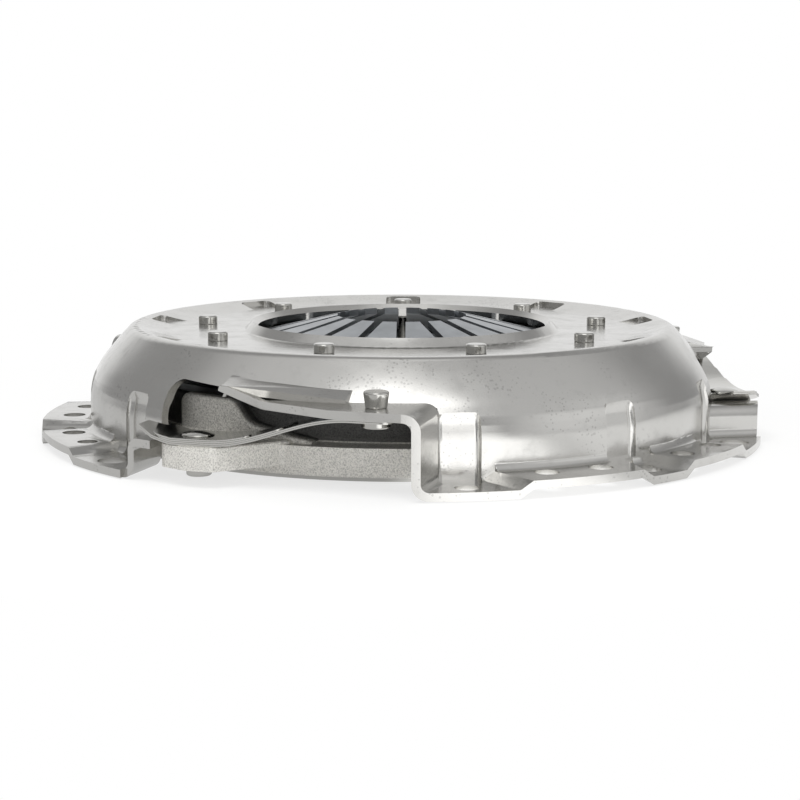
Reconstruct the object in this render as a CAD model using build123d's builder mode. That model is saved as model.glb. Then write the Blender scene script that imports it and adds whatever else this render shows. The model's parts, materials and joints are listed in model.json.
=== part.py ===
"""Clutch pressure plate: the clutch cover assembly of a push-type diaphragm spring clutch.

Millimetres. The origin is on the axis, in the plane of the low flange pads, which sit on the
flywheel. +Z points from the flywheel to the gearbox. The cover has three equal sectors, each
with one side window, and the first window faces -Y. Angles round the cover are counted from
the middle of a window, anticlockwise seen from above.
"""
from build123d import *
from math import atan2, cos, degrees, radians, sin, tan
import os

os.makedirs("parts", exist_ok=True)

# ---- cover pressing -----------------------------------------------------------------------
SECTORS = 3                    # windows, strap packs and plate lugs round the cover
FIRST_WINDOW = -90             # direction of the first window, in degrees from +X
sheet = 3.1                    # cover sheet thickness
skirt_radius = 130.0           # outside of the upright skirt
flange_width = 20.0            # from the skirt out to the flange's edge
flange_step = 3.1              # height of the raised pads above the low ones
shoulder_height = 24.7         # where the upright skirt turns into the cone
cone_run = 17.7                # from the skirt in to the raised rim, where the cone ends
rim_height = 46.2
rim_run = 15.3                 # from the rim in to the flat floor that carries the rivets
floor_height = 42.8
floor_outside = 12.6           # floor outside the rivet circle
floor_inside = 18.6            # floor inside it, as far as the foot of the centre lip
lip_run = 3.2                  # upturned lip round the centre opening
lip_height = 46.4
foot_bend = 3.0                # inside radius of the bend between skirt and flange
shoulder_bend = 6.0
rim_bend = 4.5
floor_bend = 7.0
lip_bend = 1.6

# ---- flange pads, ramps and holes, as angles after the middle of a window -------------------
ramp_run = 4.6                 # length of the slope between a low pad and a raised one
ramp_1 = (31.0, 34.4)          # bend lines: angle at the skirt and angle at the outer edge
ramp_2 = (57.6, 54.0)
ramp_3 = (62.3, 62.9)
ramp_4 = (79.0, 80.0)
FLANGE_HOLES = (               # angle, distance in from the flange's edge, diameter
    (27.6, 8.0, 9.0),          # bolts, in the low pads
    (59.1, 10.0, 9.0),
    (40.6, 13.0, 9.2),         # bolts, in the raised pads
    (49.9, 12.0, 9.2),
    (68.0, 11.0, 9.2),
    (77.2, 10.5, 8.0),         # dowel
    (87.9, 8.5, 11.5),         # large locating hole, in the last low pad
)

# ---- recesses pressed into the skirt above the flange holes ---------------------------------
recess_depth = 2.4
recess_corner = 2.2
recess_reach = 4.0             # how far a recess runs out over the flange
recess_top = 26.0              # top of the sheet behind a recess, just under the cone
RECESSES = (                   # first angle, last angle, stands over a raised pad
    (23.9, 31.0, False),
    (53.9, 60.6, True),
    (83.9, 90.0, False),
)

# ---- side window and its bent strip, in the window's own axes: x along it, z up -------------
window_right = 53.3            # outside of the upright wall at the shelf end
window_left = -61.2            # outside of the upright wall at the lug end
shelf_height = 30.8            # top of the shelf that carries the straps
shelf_bend = 6.5               # outside radius of the bend from wall to shelf
shelf_overhang = 12.5          # straight front edge of the shelf, out from the skirt
shelf_full = 20.0              # where the shelf starts to narrow
narrow_position = -12.0        # middle of the narrowing
narrow_overhang = 0.0
rise_start = -10.0             # where the shelf starts to rise
rise_bend = 12.0
shelf_end = -27.0              # sheared end of the shelf
shelf_end_height = 36.2
shelf_end_overhang = -3.5
flare_start = -27.0            # short flare of the cone over the shelf: its high end
flare_end = 21.0               # its low end
flare_height = 35.5            # upper edge at the high end
flare_fall = 4.0               # angle at which it comes down to its low end
flare_overhang = -3.0          # edge of the flare, out from the skirt
flare_root_overhang = -16.5    # its root, inside the cone's sheet
flare_root_rise = 5.0
flare_lean = 20.4              # lean of the flare's edge
arch_angle = -25.6             # direction of the arch's upright side
arch_foot = 1.6                # its foot stands in by this much
arch_foot_height = 20.0
arch_height = 34.9             # top of the arch beside its round corner
arch_width = 27.0
arch_end_height = 33.3         # top of the arch beside the shelf's end
arch_corner = 6.0
cut_corner = 0.8               # the other corners of the window
cut_inside = 45.0              # how far left the straight cut runs, inside the arch
ledge_height = 15.5            # top of the bent ledge above the lug end wall
ledge_end = -50.0
ledge_bend = 5.0
ledge_inset = 1.7              # ledge's end, in from the flange's edge
strip_inner = 100.0            # where the strips and the window cut begin, well inside the skirt
past_edge = 20.0               # how far cutting shapes run out past the flange

# ---- fulcrum: rivets, wire rings and the pockets that clear the rivet tool ------------------
RIVETS = 9
rivet_phase = -2.15            # first rivet, as an angle after the middle of a window
rivet_shank = 5.2
rivet_head = 8.0
rivet_head_height = 3.6
head_chamfer = 0.5
rivet_collar = 13.0            # lower head that carries the lower ring
rivet_collar_height = 2.6
shank_clearance = 0.15         # all round a rivet shank in its hole
wire = 4.4                     # fulcrum ring wire; the upper ring is flat where it meets the cover
seat_gap = 0.05                # between a wire ring and what it bears on
pocket_width = 16.0
pocket_reach = 10.5            # from the floor out into the rim
pocket_corner = 2.5

# ---- diaphragm spring -----------------------------------------------------------------------
FINGERS = 18
spring_thickness = 2.6
spring_outside = 22.6          # spring outside the rivet circle
finger_tip_radius = 27.0
finger_tip_height = 48.6
cone_angle_spring = 13.8       # cone angle of the free spring
slot_width = 3.6
slot_window = 9.0              # round end of each slot at the rivet circle

# ---- pressure plate casting -----------------------------------------------------------------
plate_gap = 9.0                # from the outside of the skirt in to the plate's edge
bore_run = 21.0                # from the plate's bore out to the ridge
friction_height = 0.9          # friction face above the flange plane, clutch off the flywheel
plate_top = 13.4
ridge_inside = 7.5             # ridge inside the spring's edge
ridge_outside = 3.0
ridge_gap = 0.3                # below the spring
ear_bottom = 5.9
ear_top = 14.7
boss_top = 28.0
boss_bottom = 9.0              # inside the disc
boss_left = -54.0
boss_right = -28.5
boss_inset = 4.0               # from the plate's edge in to the boss
boss_depth = 8.8
boss_foot = -21.5              # where the boss's side runs out
boss_foot_height = 19.5
boss_end = 4.0
boss_fall = 5.0
boss_round = 4.0
boss_sweep = 9.0
face_chamfer = 2.0
draft = 1.0
ridge_round = 3.0
ear_left = -47.0
ear_overhang = 11.5            # tip of the ear, out from the strap's centre line
ear_shoulder_drop = 5.0        # its left corner, short of the tip
ear_tip_left = -35.5
ear_tip_right = -24.5
ear_right = -4.0               # where its slanted side runs into the disc
ear_root_inset = 2.0
ear_round = 4.0
seat_inset = 0.8               # machined strap seat inside the outline of its ear
ear_root_fillet = 4.0

# ---- drive straps ---------------------------------------------------------------------------
strap_offset = 1.0             # centre line of the straps, out from the skirt
strap_width = 19.0
leaf = 0.65                    # thickness of one strap leaf
lug_rivet_x = -34.5
shelf_rivet_x = 33.9
strap_tail = 22.0              # strap beyond the lug rivet
strap_taper = 14.5             # where the tapered tail reaches full width
tail_width = 9.0
tail_rise = 5.0                # how far the tail curls up at its end
strap_head = 8.2               # strap beyond the shelf rivet
strap_corner = 4.0
strap_flat = 6.3               # flat length beside each rivet
bend_fullness = 0.377          # reach of the curve's end pulls, as a part of its length
support_tail = 14.4
support_length = 36.5          # support leaf beyond the lug rivet
clamp_tail = 14.4
clamp_near = 16.8              # slanted end of the clamp plate: its corner beside the cover
clamp_far = 24.8               # and its outer corner
clamp_thickness = 0.6
clamp_corner = 2.5
strap_rivet_shank = 6.6
strap_hole_clearance = 0.35    # all round a strap rivet where the body may differ
lug_head = 12.0
lug_head_height = 1.6
lug_head_edge = 0.5            # upright edge of the domed head
lug_foot = 9.4
lug_foot_height = 3.6
shelf_head = 9.2
shelf_head_neck = 7.8
shelf_head_height = 5.9
shelf_foot = 10.2
shelf_foot_height = 2.8

# ---- sizes that follow ----------------------------------------------------------------------
flange_radius = skirt_radius + flange_width
rim_radius = skirt_radius - cone_run
floor_outer_radius = rim_radius - rim_run
rivet_circle_radius = floor_outer_radius - floor_outside
lip_foot_radius = rivet_circle_radius - floor_inside
lip_radius = lip_foot_radius - lip_run
pocket_end_radius = floor_outer_radius + pocket_reach
spring_outer_radius = rivet_circle_radius + spring_outside
ridge_outer_radius = spring_outer_radius + ridge_outside
ridge_inner_radius = spring_outer_radius - ridge_inside
plate_bore_radius = ridge_inner_radius - bore_run
plate_radius = skirt_radius - plate_gap
boss_radius = plate_radius - boss_inset
boss_inner_radius = boss_radius - boss_depth
strap_line = skirt_radius + strap_offset            # centre line of the straps, from the axis
ear_radius = strap_line + ear_overhang
skirt_inner = skirt_radius - sheet
first_rivet = FIRST_WINDOW + rivet_phase
cone_angle = degrees(atan2(rim_height - shoulder_height, skirt_radius - rim_radius))
raised_top = sheet + flange_step
foot_top = raised_top + foot_bend
floor_underside = floor_height - sheet
shelf_underside = shelf_height - sheet
ring_radius = rivet_circle_radius + rivet_shank / 2 + wire / 2 + seat_gap
slope = tan(radians(cone_angle_spring))
stretch = 1 / cos(radians(cone_angle_spring))       # height for one millimetre square to the spring
spring_drop = spring_thickness * stretch


def spring_top(radius):
    """Height of the spring's upper surface at a radius."""
    return finger_tip_height - (radius - finger_tip_radius) * slope


wire_rise = (wire / 2 + seat_gap) * stretch
upper_ring_height = spring_top(ring_radius) + wire_rise
lower_ring_height = spring_top(ring_radius) - spring_drop - wire_rise
collar_top = lower_ring_height - wire / 2 - seat_gap
ridge_top = spring_top(spring_outer_radius) - spring_drop - ridge_gap
OUT = flange_radius + past_edge                     # safely outside the flange


def at(radius, angle):
    """Point in plan, at an angle after the middle of the first window."""
    turn = radians(FIRST_WINDOW + angle)
    return Vector(radius * cos(turn), radius * sin(turn))


def plan_radius(shape):
    """Distance of a shape's centre from the axis."""
    return Vector(shape.center().X, shape.center().Y).length


def bend_line(bend, shift=0.0):
    """Inner point, outward direction and sideways direction of a bend across the flange."""
    inner, outer = at(skirt_radius, bend[0]), at(flange_radius, bend[1])
    along = (outer - inner).normalized()
    across = Vector(0, 0, 1).cross(along)
    return inner - along * past_edge / 2 + across * shift, along, across


def bend_ends(bend, shift=0.0):
    """The two plan points that carry a bend line across the flange."""
    start, along, _ = bend_line(bend, shift)
    return start, start + along * (OUT - strip_inner)


# ---- flange ---------------------------------------------------------------------------------
def flange_pads(base, outlines):
    """The flange pads of one level, with their bend up into the skirt."""
    bend_radius = skirt_radius + foot_bend
    top = base + sheet
    with BuildPart() as pads:
        with BuildSketch(Plane.XZ):
            with BuildLine():
                Line((bend_radius, base), (flange_radius, base))
                Line((flange_radius, base), (flange_radius, top))
                Line((flange_radius, top), (bend_radius, top))
                RadiusArc((bend_radius, top), (skirt_radius, top + foot_bend), foot_bend)
                Line((skirt_radius, top + foot_bend), (skirt_inner, top + foot_bend))
                RadiusArc((skirt_inner, top + foot_bend), (bend_radius, base), -foot_bend - sheet)
            make_face()
        revolve(axis=Axis.Z)
        with BuildSketch():
            with PolarLocations(0, SECTORS):
                for outline in outlines:
                    Polygon(*outline, align=None)
        extrude(amount=top + foot_bend, mode=Mode.INTERSECT)
    return pads.part


def quad(first, second):
    """Plan outline between two lines that cross the flange."""
    return [(point.X, point.Y) for point in (first[0], first[1], second[1], second[0])]


right_wall_line = [Vector(window_right + foot_bend, -y) for y in (strip_inner, OUT)]
left_wall_line = [
    Vector(window_left - foot_bend, -y).rotate(Axis.Z, 360 / SECTORS)
    for y in (strip_inner, OUT)
]
low_outlines = (
    quad(right_wall_line, bend_ends(ramp_1)),
    quad(bend_ends(ramp_2, ramp_run), bend_ends(ramp_3)),
    quad(bend_ends(ramp_4, ramp_run), left_wall_line),
)
raised_outlines = (
    quad(bend_ends(ramp_1, ramp_run), bend_ends(ramp_2)),
    quad(bend_ends(ramp_3, ramp_run), bend_ends(ramp_4)),
)

low_pads = flange_pads(0, low_outlines)
raised_pads = flange_pads(flange_step, raised_outlines)


def ramp_bars(radius, upright):
    """One bar across the flange at each bend, cut to a ring round the inside of the skirt.

    The bar is the sloping sheet, or the upright foot of the skirt that stands on it.
    """
    with BuildPart() as bars:
        for bend, low, high in (
            (ramp_1, 0, flange_step),
            (ramp_2, flange_step, 0),
            (ramp_3, 0, flange_step),
            (ramp_4, flange_step, 0),
        ):
            start, along, across = bend_line(bend)
            tops = (foot_top, foot_top) if upright else (high + sheet, low + sheet)
            with BuildSketch(Plane(origin=start, x_dir=across, z_dir=along)):
                Polygon((0, low), (ramp_run, high), (ramp_run, tops[0]), (0, tops[1]), align=None)
            extrude(amount=OUT - skirt_inner)
        with BuildSketch():
            Circle(radius)
            Circle(skirt_inner, mode=Mode.SUBTRACT)
        extrude(amount=foot_top, mode=Mode.INTERSECT)
    return bars.part


with BuildPart() as flange:
    add(low_pads)
    add(raised_pads)
    with PolarLocations(0, SECTORS):
        add(ramp_bars(flange_radius, upright=False))
        add(ramp_bars(skirt_radius, upright=True))


# ---- dome of the cover ----------------------------------------------------------------------
def cover_line():
    """Outer surface of the dome in half section, from the foot of the skirt to the inner lip."""
    return FilletPolyline(
        (skirt_radius, flange_step),
        (skirt_radius, shoulder_height),
        (rim_radius, rim_height),
        (floor_outer_radius, floor_height),
        (lip_foot_radius, floor_height),
        (lip_radius, lip_height),
        radius=(shoulder_bend, rim_bend, floor_bend, lip_bend),
    )


with BuildPart() as dome:
    with BuildSketch(Plane.XZ):
        with BuildLine():
            cover_line()
            offset(amount=sheet, side=Side.LEFT)
        make_face()
    revolve(axis=Axis.Z)

with BuildPart() as space_under_dome:
    cone_inset = sheet / sin(radians(cone_angle))
    with BuildSketch(Plane.XZ):
        Polygon(
            (0, -sheet),
            (skirt_inner, -sheet),
            (skirt_inner, shoulder_height),
            (skirt_radius - cone_inset, shoulder_height),
            (rim_radius - cone_inset, rim_height),
            (0, rim_height),
            align=None,
        )
    revolve(axis=Axis.Z)


# ---- bent strips round a window: walls, shelf, lip and ledge --------------------------------
with BuildPart() as shelf_strip:
    with BuildSketch(Plane.XZ.offset(strip_inner)):
        with BuildLine():
            FilletPolyline(
                (window_right + 2 * foot_bend, sheet),
                (window_right, sheet),
                (window_right, shelf_height),
                (rise_start, shelf_height),
                (shelf_end, shelf_end_height),
                radius=(foot_bend, shelf_bend, rise_bend),
            )
            offset(amount=sheet, side=Side.LEFT)
        make_face()
    extrude(amount=OUT - strip_inner)
    with BuildSketch():
        Polygon(
            (window_right - shelf_bend, -OUT),
            (window_right - shelf_bend, -skirt_radius - shelf_overhang),
            (shelf_full, -skirt_radius - shelf_overhang),
            (narrow_position, -skirt_radius - narrow_overhang),
            (shelf_end - sheet, -skirt_radius - shelf_end_overhang),
            (shelf_end - sheet, -OUT),
            align=None,
        )
    extrude(amount=rim_height, mode=Mode.SUBTRACT)
    Cylinder(flange_radius, 3 * rim_height, mode=Mode.INTERSECT)
    add(space_under_dome.part, mode=Mode.SUBTRACT)

with BuildPart() as flare:
    edge = -skirt_radius - flare_overhang
    root = -skirt_radius - flare_root_overhang
    lean_in = sheet * sin(radians(flare_lean))
    lean_down = sheet * cos(radians(flare_lean))
    fall = radians(flare_fall)
    section = Plane(
        origin=(flare_start, 0, flare_height), x_dir=(0, 1, 0), z_dir=(cos(fall), 0, -sin(fall))
    )
    with BuildSketch(section):
        Polygon(
            (edge, 0),
            (root, flare_root_rise),
            (root + lean_in, flare_root_rise - lean_down),
            (edge + lean_in, -lean_down),
            align=None,
        )
    extrude(amount=(flare_end - flare_start) / cos(fall))
    add(space_under_dome.part, mode=Mode.SUBTRACT)

with BuildPart() as ledge_strip:
    with BuildSketch(Plane.XZ.offset(strip_inner)):
        with BuildLine():
            FilletPolyline(
                (window_left - 2 * foot_bend, sheet),
                (window_left, sheet),
                (window_left, ledge_height),
                (ledge_end, ledge_height),
                radius=(foot_bend, ledge_bend),
            )
            offset(amount=sheet, side=Side.RIGHT)
        make_face()
    extrude(amount=OUT - strip_inner)
    Cylinder(flange_radius - ledge_inset, 3 * rim_height, mode=Mode.INTERSECT)
    add(space_under_dome.part, mode=Mode.SUBTRACT)


# ---- cover pressing -------------------------------------------------------------------------
with BuildPart() as window_cutter:
    with BuildSketch(Plane.XZ.offset(strip_inner)):
        with BuildLine():
            FilletPolyline(
                (window_right - sheet / 2, -sheet),
                (window_right - sheet / 2, shelf_height - sheet / 2),
                (rise_start, shelf_height - sheet / 2),
                (shelf_end, shelf_end_height - sheet / 2),
                (shelf_end, arch_end_height - sheet),
                (-cut_inside, arch_end_height - sheet),
                (-cut_inside, ledge_height - sheet / 2),
                (window_left + sheet / 2, ledge_height - sheet / 2),
                (window_left + sheet / 2, -sheet),
                radius=cut_corner,
                close=True,
            )
        make_face()
    extrude(amount=OUT - strip_inner)
    # the arch over the ear, square to the sheet at its upright side
    outward = at(strip_inner, arch_angle)
    with BuildSketch(Plane(origin=outward, x_dir=Vector(0, 0, 1).cross(outward), z_dir=outward)):
        with BuildLine():
            FilletPolyline(
                (arch_foot, ledge_height - sheet / 2),
                (0, arch_foot_height),
                (0, arch_height),
                (arch_width, arch_end_height),
                (arch_width, ledge_height - sheet / 2),
                radius=(arch_corner, arch_corner, cut_corner),
            )
            Line((arch_width, ledge_height - sheet / 2), (arch_foot, ledge_height - sheet / 2))
        make_face()
    extrude(amount=OUT - strip_inner)

with BuildPart() as cover_pressing:
    add(dome.part)
    for first, last, over_raised in RECESSES:
        width = 2 * skirt_radius * sin(radians(last - first) / 2)
        middle = FIRST_WINDOW + (first + last) / 2
        with BuildSketch(Plane.XY.offset(flange_step)):
            with PolarLocations(skirt_radius - recess_depth - sheet / 2, SECTORS, middle):
                Rectangle(sheet, width + 2 * sheet)
        extrude(amount=recess_top - flange_step)
    places = list(PolarLocations(0, SECTORS))
    for place in places:
        add(window_cutter.part.moved(place), mode=Mode.SUBTRACT)
    add(flange.part)
    for strip in (ledge_strip, shelf_strip, flare):
        for place in places:
            add(strip.part.moved(place))

    # recesses in the skirt, pockets in the rim, and the holes
    for first, last, over_raised in RECESSES:
        width = 2 * skirt_radius * sin(radians(last - first) / 2)
        middle = FIRST_WINDOW + (first + last) / 2
        reach = recess_depth + recess_reach
        with BuildSketch(Plane.XY.offset(raised_top if over_raised else sheet)):
            with PolarLocations(skirt_radius - recess_depth + reach / 2, SECTORS, middle):
                RectangleRounded(reach, width, recess_corner)
        extrude(amount=shoulder_height, mode=Mode.SUBTRACT)
    pocket_middle = (floor_outer_radius + pocket_end_radius) / 2
    pocket_length = pocket_end_radius - floor_outer_radius + 2 * pocket_corner
    with BuildSketch(Plane.XY.offset(floor_underside)):
        with PolarLocations(pocket_middle, RIVETS, first_rivet):
            Rectangle(pocket_length + sheet, pocket_width + sheet)
    extrude(amount=sheet)
    with BuildSketch(Plane.XY.offset(floor_height)):
        with PolarLocations(pocket_middle - pocket_corner, RIVETS, first_rivet):
            RectangleRounded(pocket_length, pocket_width, pocket_corner)
    extrude(amount=sheet, mode=Mode.SUBTRACT)
    with BuildSketch(Plane.XY.offset(floor_underside)):
        with PolarLocations(rivet_circle_radius, RIVETS, first_rivet):
            Circle(rivet_shank / 2 + shank_clearance)
    extrude(amount=2 * sheet, mode=Mode.SUBTRACT)
    with BuildSketch():
        for angle, margin, diameter in FLANGE_HOLES:
            with PolarLocations(flange_radius - margin, SECTORS, FIRST_WINDOW + angle):
                Circle(diameter / 2)
    extrude(amount=raised_top, mode=Mode.SUBTRACT)
    with BuildSketch(Plane.XY.offset(shelf_underside)):
        with PolarLocations(0, SECTORS):
            with Locations((shelf_rivet_x, -strap_line)):
                Circle(strap_rivet_shank / 2 + shank_clearance)
    extrude(amount=sheet, mode=Mode.SUBTRACT)
cover_pressing.part.label = "cover_pressing"
export_step(cover_pressing.part, "parts/cover_pressing.step")


# ---- diaphragm spring -----------------------------------------------------------------------
with BuildPart() as diaphragm_spring:
    with BuildSketch(Plane.XZ):
        Polygon(
            (finger_tip_radius, spring_top(finger_tip_radius)),
            (spring_outer_radius, spring_top(spring_outer_radius)),
            (spring_outer_radius, spring_top(spring_outer_radius) - spring_drop),
            (finger_tip_radius, spring_top(finger_tip_radius) - spring_drop),
            align=None,
        )
    revolve(axis=Axis.Z)
    with BuildSketch(Plane.XY.offset(collar_top)):
        with PolarLocations(rivet_circle_radius, FINGERS, first_rivet):
            Circle(slot_window / 2)
        with PolarLocations(rivet_circle_radius / 2, FINGERS, first_rivet):
            Rectangle(rivet_circle_radius, slot_width)
    extrude(amount=rim_height, mode=Mode.SUBTRACT)
diaphragm_spring.part.label = "diaphragm_spring"
export_step(diaphragm_spring.part, "parts/diaphragm_spring.step")


# ---- fulcrum rings and rivets ---------------------------------------------------------------
with BuildPart() as upper_fulcrum_ring:
    with BuildSketch(Plane.XZ):
        with Locations((ring_radius, upper_ring_height)):
            Circle(wire / 2)
            Rectangle(wire, floor_underside - seat_gap - upper_ring_height, align=(Align.CENTER, Align.MIN))
    revolve(axis=Axis.Z)
upper_fulcrum_ring.part.label = "upper_fulcrum_ring"
export_step(upper_fulcrum_ring.part, "parts/upper_fulcrum_ring.step")

with BuildPart() as lower_fulcrum_ring:
    with BuildSketch(Plane.XZ):
        with Locations((ring_radius, lower_ring_height)):
            Circle(wire / 2)
    revolve(axis=Axis.Z)
lower_fulcrum_ring.part.label = "lower_fulcrum_ring"
export_step(lower_fulcrum_ring.part, "parts/lower_fulcrum_ring.step")

with BuildPart() as fulcrum_rivet:
    with BuildSketch(Plane.XZ):
        Polygon(
            (0, collar_top - rivet_collar_height),
            (rivet_collar / 2 - rivet_collar_height / 2, collar_top - rivet_collar_height),
            (rivet_collar / 2, collar_top - rivet_collar_height / 2),
            (rivet_collar / 2, collar_top),
            (rivet_shank / 2, collar_top),
            (rivet_shank / 2, floor_height),
            (rivet_head / 2, floor_height),
            (rivet_head / 2, floor_height + rivet_head_height - head_chamfer),
            (rivet_head / 2 - head_chamfer, floor_height + rivet_head_height),
            (0, floor_height + rivet_head_height),
            align=None,
        )
    revolve(axis=Axis.Z)

for number, place in enumerate(PolarLocations(rivet_circle_radius, RIVETS, first_rivet), start=1):
    rivet = fulcrum_rivet.part.moved(place)
    rivet.label = f"fulcrum_rivet_{number}"
    export_step(rivet, f"parts/{rivet.label}.step")


# ---- pressure plate casting -----------------------------------------------------------------
with BuildPart() as plate_boss:
    with BuildSketch(Plane.XZ.offset(strip_inner)):
        with BuildLine():
            Polyline(
                (boss_left, boss_bottom),
                (boss_left, boss_top),
                (boss_right, boss_top),
                (boss_foot, boss_foot_height),
                (boss_end, boss_foot_height - boss_fall),
                (boss_end, boss_bottom),
                (boss_left, boss_bottom),
            )
        make_face()
        corners = vertices().group_by(Axis.Y)
        fillet(corners[-1], radius=boss_round)
        fillet(vertices().sort_by_distance((boss_foot, boss_foot_height))[0], radius=boss_sweep)
    extrude(amount=OUT - strip_inner)
    with BuildSketch():
        Circle(boss_radius)
        Circle(boss_inner_radius, mode=Mode.SUBTRACT)
    extrude(amount=boss_top, mode=Mode.INTERSECT)
    top_arcs = edges().group_by(Axis.Z)[-1].filter_by(GeomType.CIRCLE)
    fillet(top_arcs.sort_by(SortBy.RADIUS)[-1], boss_round / 3)

with BuildSketch() as ear_outline:
    with PolarLocations(0, SECTORS):
        Polygon(
            (ear_left, -strip_inner),
            (ear_right, -strip_inner),
            (ear_right, ear_root_inset - plate_radius),
            (ear_tip_right, -ear_radius),
            (ear_tip_left, -ear_radius),
            (ear_left, ear_shoulder_drop - ear_radius),
            align=None,
        )
    fillet([v for v in ear_outline.vertices() if v.distance_to(Vertex(0, 0)) > plate_radius + 1], ear_round)

with BuildPart() as pressure_plate_casting:
    with BuildSketch(Plane.XZ):
        Polygon(
            (plate_bore_radius, friction_height + face_chamfer),
            (plate_bore_radius + face_chamfer, friction_height),
            (plate_radius - face_chamfer, friction_height),
            (plate_radius, friction_height + face_chamfer),
            (plate_radius, plate_top),
            (ridge_outer_radius, plate_top),
            (ridge_outer_radius - draft, ridge_top),
            (ridge_inner_radius + draft, ridge_top),
            (ridge_inner_radius, plate_top),
            (plate_bore_radius, plate_top),
            align=None,
        )
        fillet(vertices().group_by(Axis.Y)[-1], radius=ridge_round)
    revolve(axis=Axis.Z)
    # ears that carry the straps
    with BuildSketch(Plane.XY.offset(ear_bottom)):
        add(ear_outline.sketch)
        Circle(ridge_outer_radius + draft, mode=Mode.SUBTRACT)
    extrude(amount=plate_top - ear_bottom + draft)
    roots = edges(Select.LAST).filter_by(Axis.Z).filter_by(
        lambda edge: abs(plan_radius(edge) - plate_radius) < draft
    )
    fillet(roots, ear_root_fillet)
    # machined strap seats
    with BuildSketch(Plane.XY.offset(plate_top)):
        add(ear_outline.sketch)
        offset(amount=-seat_inset, mode=Mode.REPLACE)
        Circle(ridge_outer_radius + 2 * draft, mode=Mode.SUBTRACT)
    extrude(amount=ear_top - plate_top)
    # bosses behind the ears
    with PolarLocations(0, SECTORS):
        add(plate_boss.part)
    # lug rivet holes
    with BuildSketch(Plane.XY.offset(ear_bottom)):
        with PolarLocations(0, SECTORS):
            with Locations((lug_rivet_x, -strap_line)):
                Circle(strap_rivet_shank / 2 + shank_clearance)
    extrude(amount=ear_top - ear_bottom, mode=Mode.SUBTRACT)
pressure_plate_casting.part.label = "pressure_plate_casting"
export_step(pressure_plate_casting.part, "parts/pressure_plate_casting.step")


# ---- drive straps ---------------------------------------------------------------------------
bend_start = lug_rivet_x + strap_flat
bend_end = shelf_rivet_x - strap_flat
bend_pull = (bend_end - bend_start) * bend_fullness
strap_rise = shelf_underside - 2 * leaf - ear_top
tail_start = lug_rivet_x - strap_flat
tail_bend = tail_start - strap_flat / 2
tail_end = lug_rivet_x - strap_tail - leaf


def strap_surface(bottom):
    """Side view of a surface of the strap pack, given its height on the ear; lug end first."""
    top = bottom + strap_rise
    with BuildLine() as surface:
        Bezier((tail_end, bottom + tail_rise), (tail_bend, bottom), (tail_start, bottom))
        Line((tail_start, bottom), (bend_start, bottom))
        Bezier(
            (bend_start, bottom),
            (bend_start + bend_pull, bottom),
            (bend_end - bend_pull, top),
            (bend_end, top),
        )
        Line((bend_end, top), (OUT, top))
    return surface.line


def strap_layer(bottom, thickness, outline):
    """One layer of the strap pack: its plan outline, bent like the straps."""
    with BuildPart() as layer:
        with BuildSketch(Plane.XZ.offset(strip_inner)):
            with BuildLine():
                add(strap_surface(bottom))
                add(strap_surface(bottom + thickness))
                Line((tail_end, bottom + tail_rise), (tail_end, bottom + tail_rise + thickness))
                Line((OUT, bottom + strap_rise), (OUT, bottom + strap_rise + thickness))
            make_face()
        extrude(amount=OUT - strip_inner)
        extrude(outline, amount=rim_height, mode=Mode.INTERSECT)
    return layer.part


with BuildSketch() as strap_outline:
    with Locations((0, -strap_line)):
        Polygon(
            (lug_rivet_x - strap_tail, -tail_width / 2),
            (lug_rivet_x - strap_taper, -strap_width / 2),
            (shelf_rivet_x + strap_head, -strap_width / 2),
            (shelf_rivet_x + strap_head, strap_width / 2),
            (lug_rivet_x - strap_taper, strap_width / 2),
            (lug_rivet_x - strap_tail, tail_width / 2),
            align=None,
        )
        fillet(vertices().group_by(Axis.X)[-1], strap_corner)
        with Locations((lug_rivet_x, 0), (shelf_rivet_x, 0)):
            Circle(strap_rivet_shank / 2 + strap_hole_clearance, mode=Mode.SUBTRACT)

with BuildSketch() as support_outline:
    with Locations((lug_rivet_x - support_tail, -strap_line)):
        RectangleRounded(
            support_tail + support_length, strap_width, strap_corner, align=(Align.MIN, Align.CENTER)
        )
    with Locations((lug_rivet_x, -strap_line)):
        Circle(strap_rivet_shank / 2 + strap_hole_clearance, mode=Mode.SUBTRACT)

with BuildSketch() as clamp_outline:
    with Locations((lug_rivet_x, -strap_line)):
        Polygon(
            (-clamp_tail, -strap_width / 2),
            (clamp_far, -strap_width / 2),
            (clamp_near, strap_width / 2),
            (-clamp_tail, strap_width / 2),
            align=None,
        )
        fillet(vertices(), clamp_corner)
        Circle(strap_rivet_shank / 2 + shank_clearance, mode=Mode.SUBTRACT)

strap_lower_leaf = strap_layer(ear_top, leaf, strap_outline.sketch)
strap_upper_leaf = strap_layer(ear_top + leaf, leaf, strap_outline.sketch)
support_leaf = strap_layer(ear_top + 2 * leaf, leaf, support_outline.sketch)
strap_clamp_plate = strap_layer(ear_top + 3 * leaf, clamp_thickness, clamp_outline.sketch)


# ---- strap rivets ---------------------------------------------------------------------------
clamp_top = ear_top + 3 * leaf + clamp_thickness
with BuildPart() as lug_rivet:
    with BuildSketch(Plane.XZ):
        with BuildLine():
            TangentArc(
                (0, clamp_top + lug_head_height),
                (lug_head / 2, clamp_top + lug_head_edge),
                tangent=(1, 0),
            )
            Polyline(
                (lug_head / 2, clamp_top + lug_head_edge),
                (lug_head / 2, clamp_top),
                (strap_rivet_shank / 2, clamp_top),
                (strap_rivet_shank / 2, ear_bottom),
                (lug_foot / 2, ear_bottom),
                (lug_foot / 2, ear_bottom - lug_foot_height + head_chamfer),
                (lug_foot / 2 - head_chamfer, ear_bottom - lug_foot_height),
                (0, ear_bottom - lug_foot_height),
                (0, clamp_top + lug_head_height),
            )
        make_face()
    revolve(axis=Axis.Z)

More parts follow.
